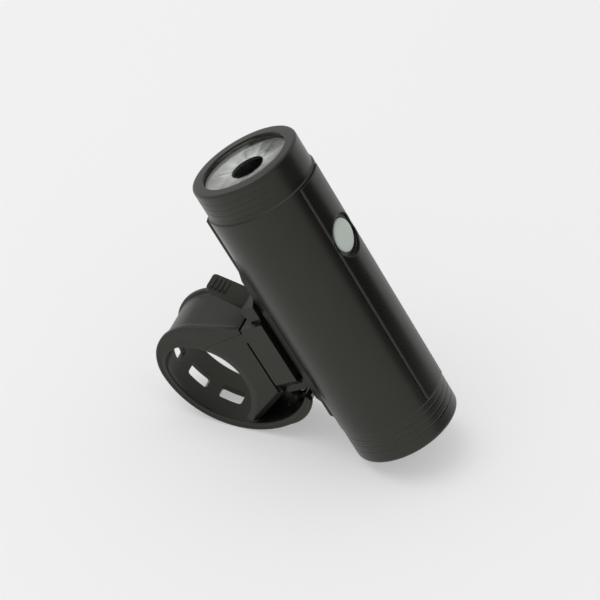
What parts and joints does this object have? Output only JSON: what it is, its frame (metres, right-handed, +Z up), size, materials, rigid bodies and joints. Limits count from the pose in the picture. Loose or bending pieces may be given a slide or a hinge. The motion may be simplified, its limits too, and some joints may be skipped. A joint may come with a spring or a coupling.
{
  "type": "bicycle front light",
  "caption": "Tube-shaped handlebar bike light with a ribbed bezel and tail ring, a pale top button, a slide-on mount with a thumb latch and a slotted rubber strap.",
  "frame": {"origin": "on the table under the middle of the part's box, with the light leaning on its tail ring and its strap", "axes": "+Z up from the table, +X towards the strap's side, away from the tail ring's foot, +Y along the handlebar, to the side that the picture shows"},
  "size_m": [0.0864, 0.0326, 0.0977],
  "materials": {
    "satin_black": "satin black anodised metal",
    "black_plastic": "fine matte moulded plastic",
    "button_plastic": "translucent pale button",
    "clear_lens": "clear flat lens",
    "polished_dish": "bright metallised dish",
    "board": "green circuit board",
    "led": "yellow phosphor",
    "aluminium": "machined",
    "cell_wrap": "plain shrink wrap",
    "nickel": "plain plated steel",
    "strap_rubber": "satin moulded rubber",
    "seal_rubber": "soft black rubber"
  },
  "bodies": {
    "light": {"barrel_tube": "satin_black", "deck_cover": "satin_black", "circuit_board": "board", "tact_switch": "black_plastic", "battery_cell": "cell_wrap", "cradle_front": "black_plastic", "cradle_rear": "black_plastic", "contact_front": "nickel", "contact_rear": "nickel", "heat_sink": "aluminium", "led_board": "board", "led_emitter": "led", "reflector": "polished_dish", "led_collar": "black_plastic", "front_lens": "clear_lens", "lens_seal": "seal_rubber", "tail_seal": "seal_rubber", "tail_plate": "black_plastic", "usb_socket": "nickel", "keel_rail": "black_plastic", "rail_screws": "nickel"},
    "button": {"button_cap": "button_plastic"},
    "bezel": {"front_bezel": "satin_black"},
    "tail_ring_body": {"tail_ring": "satin_black"},
    "flap": {"usb_flap": "seal_rubber"},
    "mount": {"slide_base": "black_plastic", "saddle": "black_plastic", "saddle_screws": "nickel", "saddle_pad": "strap_rubber", "strap": "strap_rubber", "latch_pin": "nickel"},
    "lever": {"release_latch": "black_plastic"}
  },
  "joints": [
    {"name": "button_press", "type": "slide", "parent": "light", "child": "button", "axis": [0.8635, 0, -0.5043], "range_m": [0, 0.0005], "stiffness_N_per_m": 2000, "springref_m": -0.0005},
    {"name": "bezel_unscrew", "type": "hinge", "parent": "light", "child": "bezel", "pos_m": [0.01587, 0, 0.08583], "axis": [0.5043, 0, 0.8635], "continuous": true},
    {"name": "tail_ring_unscrew", "type": "hinge", "parent": "light", "child": "tail_ring_body", "pos_m": [-0.02692, 0, 0.01256], "axis": [0.5043, 0, 0.8635], "continuous": true},
    {"name": "flap_open", "type": "hinge", "parent": "light", "child": "flap", "pos_m": [-0.03669, 0, 0.01374], "axis": [0, 1, 0], "range_deg": [0, 100]},
    {"name": "mount_slide", "type": "slide", "parent": "light", "child": "mount", "axis": [-0.5043, 0, -0.8635], "range_m": [0, 0.03]},
    {"name": "lever_press", "type": "hinge", "parent": "mount", "child": "lever", "pos_m": [0.01276, 0, 0.03391], "axis": [0, 1, 0], "range_deg": [0, 7], "stiffness_Nm_per_rad": 0.25, "springref_deg": -2.86}
  ]
}
